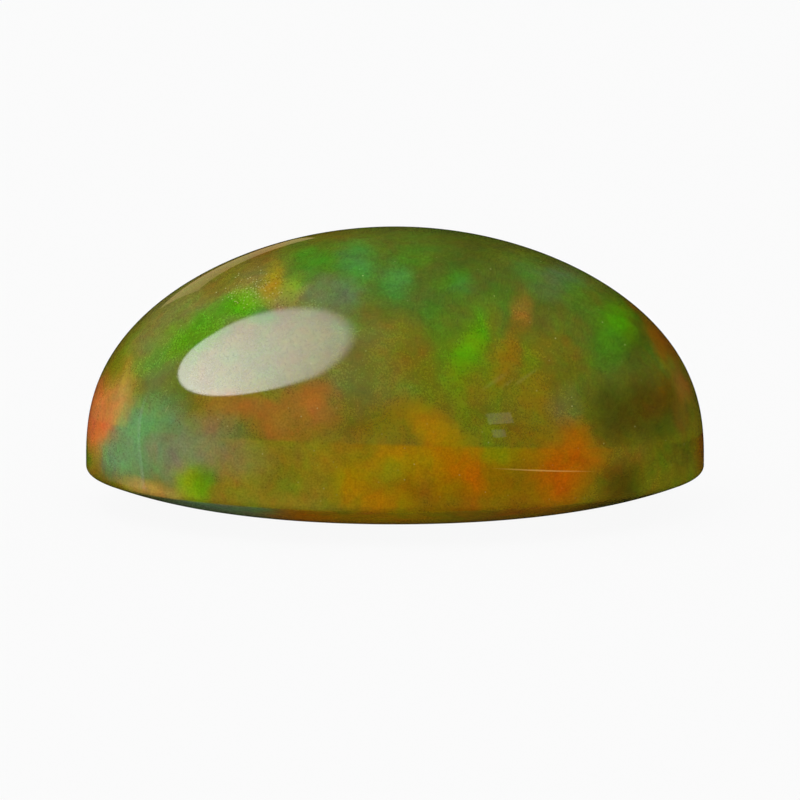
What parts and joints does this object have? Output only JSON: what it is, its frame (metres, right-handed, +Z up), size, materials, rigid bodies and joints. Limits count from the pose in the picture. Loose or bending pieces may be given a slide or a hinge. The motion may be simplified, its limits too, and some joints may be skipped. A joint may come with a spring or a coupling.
{
  "type": "opal cabochon",
  "caption": "Polished oval opal cabochon with a high dome, a narrow upright girdle and a shallow rounded underside with a flat spot to rest on.",
  "frame": {"origin": "middle of the underside, at the stone's lowest point, where it rests", "axes": "+Z up through the crown of the dome, +X along the length of the oval, +Y along its width, away from the viewer of the picture"},
  "size_m": [0.014, 0.01, 0.0063],
  "materials": {
    "polished_opal": "clear brown-olive opal with soft patches of green, orange, red and teal inside, polished to a glassy shine"
  },
  "bodies": {
    "root": {"opal_cabochon": "polished_opal"}
  },
  "joints": []
}
